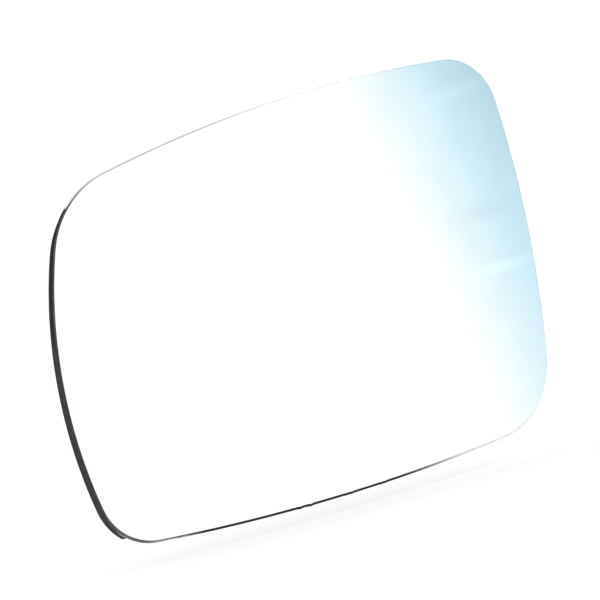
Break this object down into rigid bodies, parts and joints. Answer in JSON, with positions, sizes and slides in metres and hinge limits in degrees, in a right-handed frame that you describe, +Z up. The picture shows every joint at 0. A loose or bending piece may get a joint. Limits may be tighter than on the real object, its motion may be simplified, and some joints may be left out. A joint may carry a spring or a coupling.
{
  "type": "car door mirror glass",
  "caption": "Convex door mirror glass with a ground edge, bonded over a heating pad to a ribbed plastic backing plate whose hooked ring snaps on to the mirror motor.",
  "frame": {"origin": "on the clip ring's axis at the back, at the mouth of the hook lips", "axes": "+Z up as fitted on the car, the reflecting face looks along -Y, +X to the right seen from the front, +Y out of the clip ring"},
  "size_m": [0.1783, 0.0148, 0.1243],
  "materials": {
    "blue_mirror": "mirror-coated glass with a light blue tint and a fine-ground grey edge",
    "heating_foil": "thin silvery grey film",
    "black_moulding": "fine-grained black moulding",
    "terminal_brass": "bright rolled strip",
    "eyelet_brass": "bright turned-over tube"
  },
  "bodies": {
    "root": {"mirror_glass": "blue_mirror", "heater_pad": "heating_foil", "backing_plate": "black_moulding", "heater_terminal_upper": "terminal_brass", "heater_terminal_lower": "terminal_brass", "terminal_eyelets": "eyelet_brass"}
  },
  "joints": []
}
